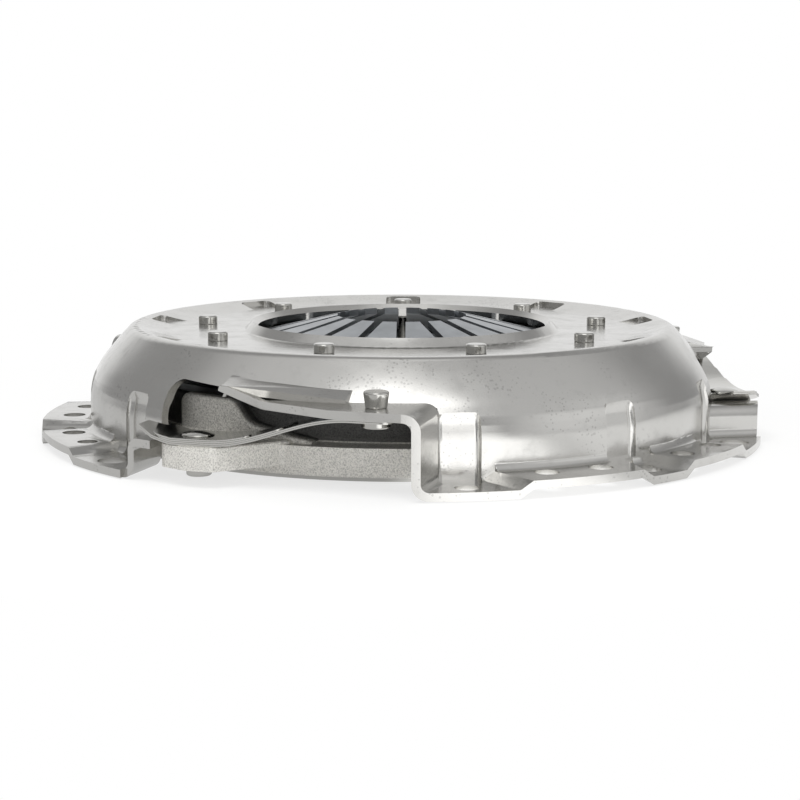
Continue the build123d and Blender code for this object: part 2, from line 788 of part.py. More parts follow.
leaves_bottom = shelf_underside - 2 * leaf
with BuildPart() as shelf_rivet:
    with BuildSketch(Plane.XZ):
        Polygon(
            (0, shelf_height + shelf_head_height),
            (shelf_head / 2 - head_chamfer, shelf_height + shelf_head_height),
            (shelf_head / 2, shelf_height + shelf_head_height - head_chamfer),
            (shelf_head / 2, shelf_height + shelf_head_height - 2 * head_chamfer),
            (shelf_head_neck / 2, shelf_height),
            (strap_rivet_shank / 2, shelf_height),
            (strap_rivet_shank / 2, leaves_bottom),
            (shelf_foot / 2, leaves_bottom),
            (shelf_foot / 2, leaves_bottom - shelf_foot_height + head_chamfer),
            (shelf_foot / 2 - head_chamfer, leaves_bottom - shelf_foot_height),
            (0, leaves_bottom - shelf_foot_height),
            align=None,
        )
    revolve(axis=Axis.Z)

for number, turn in enumerate(PolarLocations(0, SECTORS), start=1):
    for name, shape, x, y in (
        ("strap_lower_leaf", strap_lower_leaf, 0, 0),
        ("strap_upper_leaf", strap_upper_leaf, 0, 0),
        ("support_leaf", support_leaf, 0, 0),
        ("strap_clamp_plate", strap_clamp_plate, 0, 0),
        ("lug_rivet", lug_rivet.part, lug_rivet_x, -strap_line),
        ("shelf_rivet", shelf_rivet.part, shelf_rivet_x, -strap_line),
    ):
        piece = shape.moved(turn * Location((x, y, 0)))
        piece.label = f"{name}_{number}"
        export_step(piece, f"parts/{piece.label}.step")
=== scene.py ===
"""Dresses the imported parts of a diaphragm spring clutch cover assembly."""
import json
from math import cos, exp, pi, radians, sin, sqrt

import bpy
from bpy.props import FloatProperty, FloatVectorProperty, PointerProperty
from mathutils import Matrix, Vector


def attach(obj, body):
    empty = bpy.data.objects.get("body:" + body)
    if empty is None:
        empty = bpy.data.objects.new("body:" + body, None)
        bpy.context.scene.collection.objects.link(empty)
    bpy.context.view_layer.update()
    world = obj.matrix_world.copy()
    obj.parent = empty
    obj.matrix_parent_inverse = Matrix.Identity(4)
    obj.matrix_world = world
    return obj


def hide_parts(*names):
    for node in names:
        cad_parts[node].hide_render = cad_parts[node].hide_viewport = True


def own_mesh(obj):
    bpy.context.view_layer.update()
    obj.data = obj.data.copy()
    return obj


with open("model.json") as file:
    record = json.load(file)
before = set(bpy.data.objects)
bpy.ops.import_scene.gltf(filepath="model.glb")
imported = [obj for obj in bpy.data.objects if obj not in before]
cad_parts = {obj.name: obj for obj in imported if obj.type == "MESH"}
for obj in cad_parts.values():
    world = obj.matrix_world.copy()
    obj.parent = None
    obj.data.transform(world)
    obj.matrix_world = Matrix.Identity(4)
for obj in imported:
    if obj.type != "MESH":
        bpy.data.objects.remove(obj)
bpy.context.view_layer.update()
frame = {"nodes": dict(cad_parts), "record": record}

bl_info = {
    "name": "Clutch Pressure Plate",
    "version": (1, 0, 0),
    "blender": (4, 5, 0),
    "location": "View3D > Sidebar > Clutch",
    "description": "Dresses the parts of a diaphragm spring clutch cover assembly",
    "category": "Object",
}

MM = 0.001
SECTORS = (1, 2, 3)
SECTOR_ANGLE = 120                # degrees; the first window's middle is at -y
FINISH_OF = {part["node"]: part["material_slot"] for part in frame["record"]["subparts"]}

# the cover's wall, outside
SKIRT_RADIUS = 130.0 * MM
SKIRT_TOP = 24.7 * MM             # where the skirt turns into the cone
SKIRT_BEND = 6.0 * MM             # radius of the bend between them
BEND_START = SKIRT_TOP - 2.15 * MM
BEND_END = SKIRT_TOP + 1.66 * MM
EASED_HALF = 4.5 * MM             # how far up and down the easing of that corner runs
WALL_FOOT = 10.0 * MM             # above the bend at the flange
CONE_SLOPE = 17.7 / 21.5          # inwards for one up
CONE_END = 44.0 * MM              # where the bend of the rim starts
RIM_HEIGHT = 46.2 * MM
FLOOR_RADIUS = 98.0 * MM
CONE_STEP = 2.1 * MM              # between the level cuts in the cone
CONE_CUTS = range(-4, 11)         # steps from the skirt's top
CROWN_END = SKIRT_RADIUS + 1 * MM     # the crown fades out from here to the shelf's front
CROWN_FADE = 4 * MM
WALL_MATCH = 0.3 * MM             # a corner this near to the wall belongs to it
WALL_TURN = 0.94                  # cosine of the most that a corner's shading may turn
SLOPE_STEP = 0.05 * MM            # over which the wall's slope is taken

# the flare over a shelf, in its window's own axes
FLARE_DROP = 2.8 * MM             # its high corner is hammered down onto the shelf's end
FLARE_HIGH_END = -31 * MM
FLARE_LOW_END = 8 * MM
FLARE_EDGE = 35 * MM              # what is lower than this stays
FLARE_ROOT = 38 * MM              # what is higher than this comes down the whole way
FLARE_LIMIT = CONE_END - 3 * MM   # and above this the cone stays

# the casting
EAR_SEAT = (14.9 * MM, 15.4 * MM)         # above the machined seats of the ears
DISC_TOP = (13.6 * MM, 14.0 * MM)
RIDGE_OUTSIDE = (112.0 * MM, 114.5 * MM)  # between the ridge and the bosses' outer faces
FRICTION_TOP = 2.5 * MM                   # the turned face and its edge are below this

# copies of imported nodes
MERGE_DISTANCE = 0.001 * MM
FLAT_WITHIN = radians(0.4)
SHARP_FROM = radians(38)          # edges that are rounded
SMOOTH_TO = radians(32)           # edges that are shaded round


# ---- colours and nodes ------------------------------------------------------------------------
def linear(hex_colour):
    """Linear RGB of an sRGB hex colour."""
    parts = [int(hex_colour[i:i + 2], 16) / 255 for i in (1, 3, 5)]
    return tuple(c / 12.92 if c <= 0.04045 else ((c + 0.055) / 1.055) ** 2.4 for c in parts)


def add_node(tree, kind, settings=None, **links):
    """Add a node and give it its settings and sockets.

    A socket is named, with _ for a space, or numbered, as in _0. It gets a value, or a link
    from another socket or from the first output in use of another node.
    """
    node = tree.nodes.new(kind)
    for name, value in (settings or {}).items():
        setattr(node, name, value)
    for name, value in links.items():
        key = int(name[1:]) if name[1:].isdigit() else name.replace("_", " ")
        if isinstance(value, bpy.types.Node):
            value = next(output for output in value.outputs if output.enabled)
        if isinstance(value, bpy.types.NodeSocket):
            tree.links.new(value, node.inputs[key])
        else:
            node.inputs[key].default_value = value
    return node


def new_material(name):
    """An empty material, its node tree and its output node."""
    material = bpy.data.materials.new(name)
    material.use_nodes = True
    tree = material.node_tree
    tree.nodes.clear()
    return material, tree, add_node(tree, "ShaderNodeOutputMaterial")


def opaque(colour):
    """A colour with its alpha, for a socket."""
    return (*colour, 1)


def darker(colour, share):
    """A share of a colour."""
    return tuple(share * part for part in colour)


def colour_property(name, description, hex_colour):
    return FloatVectorProperty(
        name=name, description=description, subtype="COLOR", size=3, min=0, max=1,
        default=linear(hex_colour),
    )


def length_property(name, description, default_mm):
    return FloatProperty(
        name=name, description=description, unit="LENGTH", min=0, default=default_mm * MM
    )


# ---- settings ---------------------------------------------------------------------------------
class CoverSettings(bpy.types.PropertyGroup):
    plating: colour_property("Plating", "Colour of the bright zinc on the cover", "#cfcecb")
    edge: length_property("Edge", "Rounding of the sheared and pressed edges", 0.45)
    peel: length_property("Peel", "Size of the fine unevenness of the plated sheet", 0.7)
    crown: length_property("Crown", "How far the drawn cone bulges out of the straight one", 0.8)
    bend: length_property("Bend", "How far the corner over the skirt is eased inwards", 1.1)
    wave: length_property("Wave", "Size of the slow unevenness left by drawing the sheet", 32)


class CastingSettings(bpy.types.PropertyGroup):
    iron: colour_property("Iron", "Colour of the blasted grey iron", "#f3f1eb")
    # this colour is also the painted shade on the bosses above the ears
    pits_and_shade: colour_property("Pits", "Colour in the sand pits", "#6b6a66")
    # painted shade: the nearly black colour painted on the ridge under the cover, for its shade
    ridge_shade: colour_property("Oil", "Colour of the oily scale on the ridge", "#1d1f21")
    face: colour_property("Face", "Colour of the turned friction face", "#b9b8b4")
    grain: length_property("Grain", "Size of the sand grain left in the casting", 0.55)
    turning: length_property("Turning", "Pitch of the turned grooves in the friction face", 0.8)


class SpringSettings(bpy.types.PropertyGroup):
    steel: colour_property("Steel", "Colour of the heat treated spring steel", "#a4a8ac")
    edge: length_property("Edge", "Rounding of the edges of the fingers", 0.35)
    peening: length_property("Peening", "Size of the dimples left by shot peening", 0.6)


class StrapSettings(bpy.types.PropertyGroup):
    strip: colour_property("Strip", "Colour of the rolled spring strip", "#d2d1cd")
    edge: length_property("Edge", "Rounding of the strap edges", 0.12)


class RivetSettings(bpy.types.PropertyGroup):
    steel: colour_property("Steel", "Colour of the plated rivets", "#c6c5c1")
    edge: length_property("Edge", "Rounding of the rivets' edges", 0.25)
    wire: colour_property("Wire", "Colour of the drawn ring wire", "#8d8f90")


class StageSettings(bpy.types.PropertyGroup):
    floor: colour_property("Floor", "Colour of the floor", "#f6f6f5")
    radius: length_property("Radius", "Radius of the floor", 1600)
    lamp: FloatProperty(
        name="Lamp", description="Power of the soft lamp overhead", min=0, default=7.0
    )


SETTINGS = {
    "clutch_cover": CoverSettings,
    "clutch_casting": CastingSettings,
    "clutch_spring": SpringSettings,
    "clutch_strap": StrapSettings,
    "clutch_rivet": RivetSettings,
    "clutch_stage": StageSettings,
}


# ---- finishes ---------------------------------------------------------------------------------
def bright_zinc(settings):
    """Bright zinc on drawn sheet: a soft mirror, wavy from the press and pitted very finely."""
    material, tree, output = new_material("bright_zinc_drawn_sheet")
    place = add_node(tree, "ShaderNodeTexCoord").outputs["Object"]
    # rubbed patches some 12 mm across are a little duller than the rest
    rubbed = add_node(
        tree, "ShaderNodeTexNoise", Vector=place, Scale=1 / (12 * MM), Detail=4.0, Roughness=0.65
    )
    roughness = add_node(
        tree, "ShaderNodeMapRange", Value=rubbed, From_Min=0.35, From_Max=0.7,
        To_Min=0.13, To_Max=0.27,
    )
    # slow waves about 0.5 mm deep bend the reflections as on pressed sheet
    wave = add_node(
        tree, "ShaderNodeTexNoise", Vector=place, Scale=1 / settings.wave, Detail=1.0
    )
    waves = add_node(tree, "ShaderNodeBump", Height=wave, Strength=0.6, Distance=0.8 * MM)
    # peel some 6 micrometres deep breaks the highlights into a fine speckle
    peel = add_node(
        tree, "ShaderNodeTexNoise", Vector=place, Scale=1 / settings.peel, Detail=2.0
    )
    uneven = add_node(
        tree, "ShaderNodeBump", Height=peel, Strength=0.12, Distance=0.05 * MM, Normal=waves
    )
    # faint stains some 6 mm across
    cloud = add_node(
        tree, "ShaderNodeTexNoise", Vector=place, Scale=1 / (6 * MM), Detail=5.0, Roughness=0.7
    )
    stain = add_node(
        tree, "ShaderNodeMapRange", Value=cloud, From_Min=0.55, From_Max=0.8,
        To_Min=0.0, To_Max=0.35,
    )
    dull = darker(settings.plating, 0.72)
    stained = add_node(
        tree, "ShaderNodeMix", {"data_type": "RGBA"},
        _0=stain, _6=opaque(settings.plating), _7=opaque(dull),
    )
    # specks up to half a millimetre across, 1.6 mm apart, in patches of rougher plating
    cells = add_node(
        tree, "ShaderNodeTexVoronoi", Vector=place, Scale=1 / (1.6 * MM), Randomness=1.0
    )
    area = add_node(tree, "ShaderNodeTexNoise", Vector=place, Scale=1 / (22 * MM), Detail=2.0)
    reach = add_node(
        tree, "ShaderNodeMapRange", Value=area, From_Min=0.45, From_Max=0.65,
        To_Min=0.06, To_Max=0.3,
    )
    specks = add_node(tree, "ShaderNodeMath", {"operation": "LESS_THAN"}, _0=cells, _1=reach)
    faint = add_node(tree, "ShaderNodeMath", {"operation": "MULTIPLY"}, _0=specks, _1=0.3)
    speckled = add_node(
        tree, "ShaderNodeMix", {"data_type": "RGBA"},
        _0=faint, _6=stained, _7=opaque(darker(dull, 0.6)),
    )
    shader = add_node(
        tree, "ShaderNodeBsdfPrincipled", Metallic=1.0, Roughness=roughness,
        Base_Color=speckled, Normal=uneven,
    )
    tree.links.new(shader.outputs["BSDF"], output.inputs["Surface"])
    return material


def blasted_iron(settings):
    """Sand-cast, blasted grey iron: coarse grain that glints; a turned friction face below."""
    material, tree, output = new_material("blasted_sand_cast_iron")
    place = add_node(tree, "ShaderNodeTexCoord").outputs["Object"]
    split = add_node(tree, "ShaderNodeSeparateXYZ", Vector=place)
    height = split.outputs["Z"]
    flat = add_node(tree, "ShaderNodeCombineXYZ", X=split.outputs["X"], Y=split.outputs["Y"])
    radius = add_node(tree, "ShaderNodeVectorMath", {"operation": "LENGTH"}, _0=flat)
    # bright and dark grains side by side, as blasting leaves them
    grain = add_node(
        tree, "ShaderNodeTexNoise", Vector=place, Scale=1 / settings.grain,
        Detail=3.0, Roughness=0.6,
    )
    mottle = add_node(
        tree, "ShaderNodeMapRange", Value=grain, From_Min=0.42, From_Max=0.7,
        To_Min=0.0, To_Max=0.6,
    )
    # painted shade: the bosses above the ears are darkened towards the pit colour, for the shade
    # of the cover over them
    boss_shade = add_node(
        tree, "ShaderNodeMapRange", Value=height, From_Min=EAR_SEAT[0], From_Max=EAR_SEAT[1],
        To_Min=0.0, To_Max=0.3,
    )
    pits_and_shade = add_node(tree, "ShaderNodeMath", {"operation": "ADD"}, _0=mottle, _1=boss_shade)
    cleaned = add_node(
        tree, "ShaderNodeMix", {"data_type": "RGBA"},
        _0=pits_and_shade, _6=opaque(settings.iron), _7=opaque(settings.pits_and_shade),
    )
    # painted shade: under the cover the ridge is painted nearly black, for the shade it lies in
    inner = add_node(
        tree, "ShaderNodeMapRange", Value=radius, From_Min=RIDGE_OUTSIDE[0],
        From_Max=RIDGE_OUTSIDE[1], To_Min=0.85, To_Max=0.0,
    )
    high = add_node(
        tree, "ShaderNodeMapRange", Value=height, From_Min=DISC_TOP[0], From_Max=DISC_TOP[1]
    )
    ridge_shade_share = add_node(tree, "ShaderNodeMath", {"operation": "MULTIPLY"}, _0=inner, _1=high)
    iron_and_shade = add_node(
        tree, "ShaderNodeMix", {"data_type": "RGBA"}, _0=ridge_shade_share, _6=cleaned, _7=opaque(settings.ridge_shade)
    )
    # lumps from the sand mould, 5 mm across
    lumps = add_node(tree, "ShaderNodeTexNoise", Vector=place, Scale=1 / (5 * MM), Detail=2.0)
    lumpy = add_node(tree, "ShaderNodeBump", Height=lumps, Strength=0.5, Distance=0.5 * MM)
    # grain up to 0.3 mm deep, whose facets glint one by one, and whose scale and dust spread
    # about half of the light evenly
    grainy = add_node(
        tree, "ShaderNodeBump", Height=grain, Strength=1.0, Distance=0.3 * MM, Normal=lumpy
    )
    cast = add_node(
        tree, "ShaderNodeBsdfPrincipled", Metallic=0.45, Roughness=0.34,
        Base_Color=iron_and_shade, Normal=grainy,
    )
    # rings on the turned face, which spread its highlight outwards from the axis
    groove = add_node(
        tree, "ShaderNodeMath", {"operation": "PINGPONG"}, _0=radius, _1=settings.turning / 2
    )
    ring = add_node(tree, "ShaderNodeMapRange", Value=groove, From_Max=settings.turning / 2)
    rings = add_node(tree, "ShaderNodeBump", Height=ring, Strength=0.35, Distance=0.03 * MM)
    turned_face = add_node(
        tree, "ShaderNodeBsdfPrincipled", Metallic=1.0, Roughness=0.3,
        Base_Color=opaque(settings.face), Normal=rings,
    )
    low = add_node(tree, "ShaderNodeMath", {"operation": "LESS_THAN"}, _0=height, _1=FRICTION_TOP)
    both = add_node(tree, "ShaderNodeMixShader", _0=low, _1=cast, _2=turned_face)
    tree.links.new(both.outputs["Shader"], output.inputs["Surface"])
    return material


def peened_steel(settings):
    """Heat treated, shot peened spring steel: blue-grey and satin, from tiny even dimples."""
    material, tree, output = new_material("shot_peened_spring_steel")
    place = add_node(tree, "ShaderNodeTexCoord").outputs["Object"]
    # dimples of the shot, some hundredths of a millimetre deep
    dimples = add_node(
        tree, "ShaderNodeTexVoronoi", {"feature": "SMOOTH_F1"},
        Vector=place, Scale=1 / settings.peening,
    )
    dimpled = add_node(tree, "ShaderNodeBump", Height=dimples, Strength=0.3, Distance=0.05 * MM)
    # darker blooms of temper some 9 mm across
    cloud = add_node(tree, "ShaderNodeTexNoise", Vector=place, Scale=1 / (9 * MM), Detail=4.0)
    bloom = add_node(
        tree, "ShaderNodeMapRange", Value=cloud, From_Min=0.4, From_Max=0.75,
        To_Min=0.0, To_Max=0.6,
    )
    tempered = add_node(
        tree, "ShaderNodeMix", {"data_type": "RGBA"},
        _0=bloom, _6=opaque(settings.steel), _7=opaque(darker(settings.steel, 0.55)),
    )
    shader = add_node(
        tree, "ShaderNodeBsdfPrincipled", Metallic=1.0, Roughness=0.3,
        Base_Color=tempered, Normal=dimpled,
    )
    tree.links.new(shader.outputs["BSDF"], output.inputs["Surface"])
    return material


def rolled_strip(settings):
    """Cold rolled spring strip: nearly a mirror, very faintly uneven and rubbed dull in places."""
    material, tree, output = new_material("cold_rolled_spring_strip")
    place = add_node(tree, "ShaderNodeTexCoord").outputs["Object"]
    fine = add_node(tree, "ShaderNodeTexNoise", Vector=place, Scale=1 / (1.2 * MM), Detail=3.0)
    uneven = add_node(tree, "ShaderNodeBump", Height=fine, Strength=0.08, Distance=0.03 * MM)
    patches = add_node(tree, "ShaderNodeTexNoise", Vector=place, Scale=1 / (7 * MM), Detail=3.0)
    rub = add_node(tree, "ShaderNodeMapRange", Value=patches, To_Min=0.1, To_Max=0.22)
    shader = add_node(
        tree, "ShaderNodeBsdfPrincipled", Metallic=1.0, Roughness=rub,
        Base_Color=opaque(settings.strip), Normal=uneven,
    )
    tree.links.new(shader.outputs["BSDF"], output.inputs["Surface"])
    return material


def plated_steel(name, colour, smooth, rough):
    """Plated steel of a set rivet or drawn wire: bright, with faint marks from its tool."""
    material, tree, output = new_material(name)
    place = add_node(tree, "ShaderNodeTexCoord").outputs["Object"]
    marks = add_node(tree, "ShaderNodeTexNoise", Vector=place, Scale=1 / (0.8 * MM), Detail=3.0)
    marked = add_node(tree, "ShaderNodeBump", Height=marks, Strength=0.12, Distance=0.03 * MM)
    roughness = add_node(
        tree, "ShaderNodeMapRange", Value=marks, From_Min=0.3, From_Max=0.7,
        To_Min=smooth, To_Max=rough,
    )
    shader = add_node(
        tree, "ShaderNodeBsdfPrincipled", Metallic=1.0, Base_Color=opaque(colour),
        Roughness=roughness, Normal=marked,
    )
    tree.links.new(shader.outputs["BSDF"], output.inputs["Surface"])
    return material


# ---- shaping ----------------------------------------------------------------------------------
def only(piece):
    """Select one object alone and make it active."""
    bpy.ops.object.select_all(action="DESELECT")
    piece.select_set(True)
    bpy.context.view_layer.objects.active = piece


def dress(name, material):
    """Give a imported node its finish."""
    node = frame["nodes"][name]
    node.data.materials.clear()
    node.data.materials.append(material)


def merged_copy(name):
    """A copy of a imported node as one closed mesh, with its flat triangles joined."""
    piece = bpy.data.objects.new(f"{name}_finished", frame["nodes"][name].data.copy())
    bpy.context.scene.collection.objects.link(piece)
    only(piece)
    bpy.ops.object.mode_set(mode="EDIT")
    bpy.ops.mesh.select_all(action="SELECT")
    bpy.ops.mesh.remove_doubles(threshold=MERGE_DISTANCE)
    bpy.ops.mesh.dissolve_limited(angle_limit=FLAT_WITHIN)
    bpy.ops.mesh.select_all(action="DESELECT")
    bpy.ops.object.mode_set(mode="OBJECT")
    return piece


def softened_copy(name, edge, material, piece=None):
    """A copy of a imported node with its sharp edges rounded, which takes the node's place."""
    piece = piece or merged_copy(name)
    rounding = piece.modifiers.new("rounding", "BEVEL")
    rounding.width = edge
    rounding.segments = 2
    rounding.limit_method = "ANGLE"
    rounding.angle_limit = SHARP_FROM
    rounding.use_clamp_overlap = True
    rounding.miter_outer = "MITER_ARC"
    bpy.ops.object.modifier_apply(modifier=rounding.name)
    bpy.ops.object.shade_smooth_by_angle(angle=SMOOTH_TO)
    # flat faces stay flat, and their rounded edges take up the turn
    weighting = piece.modifiers.new("weighting", "WEIGHTED_NORMAL")
    weighting.mode = "FACE_AREA"
    weighting.weight = 50
    weighting.keep_sharp = True
    bpy.ops.object.modifier_apply(modifier=weighting.name)
    piece.data.materials.clear()
    piece.data.materials.append(material)
    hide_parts(name)
    return piece


# ---- the cover's wall -------------------------------------------------------------------------
def cut_level(piece, heights, radius):
    """Cut a piece's outer faces at level planes, so that its section can be curved."""
    only(piece)
    for height in heights:
        outer = [face.center.xy.length > radius for face in piece.data.polygons]
        piece.data.polygons.foreach_set("select", outer)
        bpy.ops.object.mode_set(mode="EDIT")
        bpy.ops.mesh.select_mode(type="FACE")
        bpy.ops.mesh.bisect(plane_co=(0, 0, height), plane_no=(0, 0, 1))
        bpy.ops.mesh.select_all(action="DESELECT")
        bpy.ops.object.mode_set(mode="OBJECT")


def share_between(value, none, full):
    """How far a value has come from one limit to the other, from 0 to 1."""
    return min(max((value - none) / (full - none), 0), 1)


def settle_flares(cover):
    """Bring the high corner of the flare over each shelf down the cone."""
    for vertex in cover.data.vertices:
        for sector in range(len(SECTORS)):
            turn = Matrix.Rotation(radians(SECTOR_ANGLE * sector), 3, "Z")
            place = turn.inverted() @ vertex.co
            beside = FLARE_HIGH_END < place.x < FLARE_LOW_END and place.y < -FLOOR_RADIUS
            if beside and place.z < FLARE_LIMIT:
                drop = FLARE_DROP * share_between(place.z, FLARE_EDGE, FLARE_ROOT)
                drop *= share_between(place.x, FLARE_LOW_END, FLARE_HIGH_END)
                place.z -= drop
                place.y -= drop * CONE_SLOPE
                vertex.co = turn @ place


def crown(height, settings):
    """How far the cover's wall stands out of the straight one at a height.

    The cone bulges a little, and the corner between skirt and cone is eased inwards.
    """
    up = (height - SKIRT_TOP) / (RIM_HEIGHT - SKIRT_TOP)
    out = settings.crown * sin(pi * up) if 0 < up < 1 else 0.0
    return out - settings.bend * exp(-((height - SKIRT_TOP) / EASED_HALF) ** 2)


def crown_wall(cover, settings):
    """Curve the section of the cover's wall, but not of what stands out from it."""
    for vertex in cover.data.vertices:
        radius = vertex.co.xy.length
        share = 1 - share_between(radius, CROWN_END, CROWN_END + CROWN_FADE)
        if radius > FLOOR_RADIUS and share > 0:
            vertex.co.xy *= 1 + share * crown(vertex.co.z, settings) / radius


def wall_radius(height, settings):
    """Outside of the cover's wall at a height: the skirt, its bend, the cone, and the crown."""
    if height < BEND_START:
        straight = SKIRT_RADIUS
    elif height < BEND_END:
        straight = SKIRT_RADIUS - SKIRT_BEND + sqrt(SKIRT_BEND ** 2 - (height - BEND_START) ** 2)
    else:
        straight = SKIRT_RADIUS - (height - SKIRT_TOP) * CONE_SLOPE
    return straight + crown(height, settings)


def smooth_wall(cover, settings):
    """Shade the outer wall as the even drawn surface that its facets follow."""
    mesh = cover.data
    normals = [Vector(corner.vector) for corner in mesh.corner_normals]
    for face in mesh.polygons:
        if not WALL_FOOT < face.center.z < CONE_END or face.normal.dot(face.center) <= 0:
            continue
        for loop in face.loop_indices:
            place = mesh.vertices[mesh.loops[loop].vertex_index].co
            radius = place.xy.length
            if abs(radius - wall_radius(place.z, settings)) > WALL_MATCH:
                continue
            above, below = (wall_radius(place.z + z, settings) for z in (SLOPE_STEP, -SLOPE_STEP))
            flat = place.xy / radius
            even = Vector((flat.x, flat.y, (below - above) / (2 * SLOPE_STEP))).normalized()
            if even.dot(face.normal) > WALL_TURN:
                normals[loop] = even
    mesh.normals_split_custom_set(normals)


# ---- operators --------------------------------------------------------------------------------
class CLUTCH_OT_cover(bpy.types.Operator):
    """Round the edges of the cover pressing and give it its bright plating"""
    bl_idname = "clutch.cover"
    bl_label = "Cover Pressing"

    def execute(self, context):
        settings = context.scene.clutch_cover
        cover = merged_copy("cover_pressing")
        cut_level(cover, [SKIRT_TOP + step * CONE_STEP for step in CONE_CUTS], FLOOR_RADIUS)
        settle_flares(cover)
        crown_wall(cover, settings)
        softened_copy("cover_pressing", settings.edge, bright_zinc(settings), piece=cover)
        smooth_wall(cover, settings)
        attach(cover, "cover")
        return {"FINISHED"}


class CLUTCH_OT_casting(bpy.types.Operator):
    """Give the pressure plate casting its blasted iron and its turned friction face"""
    bl_idname = "clutch.casting"
    bl_label = "Plate Casting"

    def execute(self, context):
        dress("pressure_plate_casting", blasted_iron(context.scene.clutch_casting))
        return {"FINISHED"}


class CLUTCH_OT_spring(bpy.types.Operator):
    """Round the fingers of the diaphragm spring"""
    bl_idname = "clutch.spring"
    bl_label = "Diaphragm Spring"

    def execute(self, context):
        settings = context.scene.clutch_spring
        spring = softened_copy("diaphragm_spring", settings.edge, peened_steel(settings))
        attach(spring, "cover")
        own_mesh(spring)
        return {"FINISHED"}


class CLUTCH_OT_straps(bpy.types.Operator):
    """Round the drive straps and their leaves, and attach them to the cover and the plate"""
    bl_idname = "clutch.straps"
    bl_label = "Drive Straps"

    def execute(self, context):
        settings = context.scene.clutch_strap
        strip = rolled_strip(settings)
        for number in SECTORS:
            for kind in ("strap_lower_leaf", "strap_upper_leaf"):
                leaf = softened_copy(f"{kind}_{number}", settings.edge, strip)
                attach(leaf, "cover")
                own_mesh(leaf)
            for kind in ("support_leaf", "strap_clamp_plate"):
                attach(softened_copy(f"{kind}_{number}", settings.edge, strip), "plate")
        return {"FINISHED"}


class CLUTCH_OT_rivets(bpy.types.Operator):
    """Give the rivets and the fulcrum rings their finish"""
    bl_idname = "clutch.rivets"
    bl_label = "Rivets and Rings"

    def execute(self, context):
        settings = context.scene.clutch_rivet
        rivet = plated_steel("plated_rivet_steel", settings.steel, 0.1, 0.2)
        wire = plated_steel("drawn_ring_wire", settings.wire, 0.25, 0.4)
        for name, finish in FINISH_OF.items():
            if finish in ("fulcrum_rivets", "strap_rivets"):
                body = "plate" if name.startswith("lug_rivet") else "cover"
                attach(softened_copy(name, settings.edge, rivet), body)
            elif finish == "ring_wire":
                dress(name, wire)
        return {"FINISHED"}


# the camera's turn about the axis, from straight before the first window
CAMERA_TURN = Matrix.Rotation(radians(18.3064), 3, "Z")
# soft panels round the object: sideways, towards the camera, up; full and faded radius in
# degrees; strength
PANELS = (
    ((-0.04, 0.60, 0.80), 7, 27, 1.70),
    ((-0.42, 0.30, 0.85), 10, 45, 0.35),
    ((0.70, 0.30, 0.64), 10, 50, 0.30),
    ((0.31, 0.95, -0.05), 7, 22, 1.30),
    ((0.95, 0.30, -0.05), 15, 45, 0.30),
    ((0.00, -1.00, 0.10), 24, 46, 0.55),
    ((0.00, -0.15, 0.99), 6, 18, 0.40),
)
GLOOM = 0.35            # what shiny surfaces show between the panels
FLOOR_GLOW = 0.25       # and how much more of it in the floor
FLOOR_SHINE = 0.85      # share of the floor's glow in what shiny surfaces show
SKY = 0.75              # light that dull surfaces get from all round
SHADOW_FADE = (0.15, 0.3)       # the shadow on the floor fades out between these radii
SHADOW_FLOOR = 0.7              # share of plain white where the shadow is full


def panel_light(tree, direction):
    """Strength of the studio in a direction: the gloom between the panels, and each soft panel."""
    total = GLOOM
    for towards, full, faded, strength in PANELS:
        side, front, up = Vector(towards).normalized()
        centre = CAMERA_TURN @ Vector((side, -front, up))
        facing = add_node(
            tree, "ShaderNodeVectorMath", {"operation": "DOT_PRODUCT"}, _0=direction, _1=centre
        )
        panel = add_node(
            tree, "ShaderNodeMapRange", {"interpolation_type": "SMOOTHSTEP"}, Value=facing,
            From_Min=cos(radians(faded)), From_Max=cos(radians(full)), To_Min=0.0, To_Max=strength,
        )
        total = add_node(tree, "ShaderNodeMath", {"operation": "ADD"}, _0=total, _1=panel)
    return total


def pale_floor(settings):
    """Matt floor paint: it takes the object's shadow, and is white away from it."""
    material, tree, output = new_material("matt_pale_floor_paint")
    place = add_node(tree, "ShaderNodeTexCoord").outputs["Object"]
    path = add_node(tree, "ShaderNodeLightPath")
    paint = add_node(tree, "ShaderNodeBsdfDiffuse", Color=opaque(settings.floor))
    white = add_node(tree, "ShaderNodeEmission", Strength=1.0)
    # the shadow fades out away from the object, where the floor meets the background
    far = add_node(tree, "ShaderNodeVectorMath", {"operation": "LENGTH"}, _0=place)
    faded = add_node(
        tree, "ShaderNodeMapRange", Value=far, From_Min=SHADOW_FADE[0], From_Max=SHADOW_FADE[1],
        To_Min=SHADOW_FLOOR, To_Max=1.0,
    )
    share = add_node(
        tree, "ShaderNodeMath", {"operation": "MULTIPLY"},
        _0=path.outputs["Is Camera Ray"], _1=faded,
    )
    shaded = add_node(tree, "ShaderNodeMixShader", _0=share, _1=paint, _2=white)
    # painted light: shiny surfaces see the floor glow, brighter where the panels stand above it
    outward = add_node(tree, "ShaderNodeVectorMath", {"operation": "NORMALIZE"}, _0=place)
    lit = add_node(
        tree, "ShaderNodeMath", {"operation": "ADD"}, _0=panel_light(tree, outward), _1=FLOOR_GLOW
    )
    glow = add_node(tree, "ShaderNodeEmission", Strength=lit)
    mirrored = add_node(
        tree, "ShaderNodeMath", {"operation": "MULTIPLY"},
        _0=path.outputs["Is Glossy Ray"], _1=FLOOR_SHINE,
    )
    mixed = add_node(tree, "ShaderNodeMixShader", _0=mirrored, _1=shaded, _2=glow)
    # seen from below it is clear, so that the underside can be looked at
    clear = add_node(tree, "ShaderNodeBsdfTransparent")
    below = add_node(tree, "ShaderNodeNewGeometry").outputs["Backfacing"]
    sided = add_node(tree, "ShaderNodeMixShader", _0=below, _1=mixed, _2=clear)
    tree.links.new(sided.outputs["Shader"], output.inputs["Surface"])
    return material


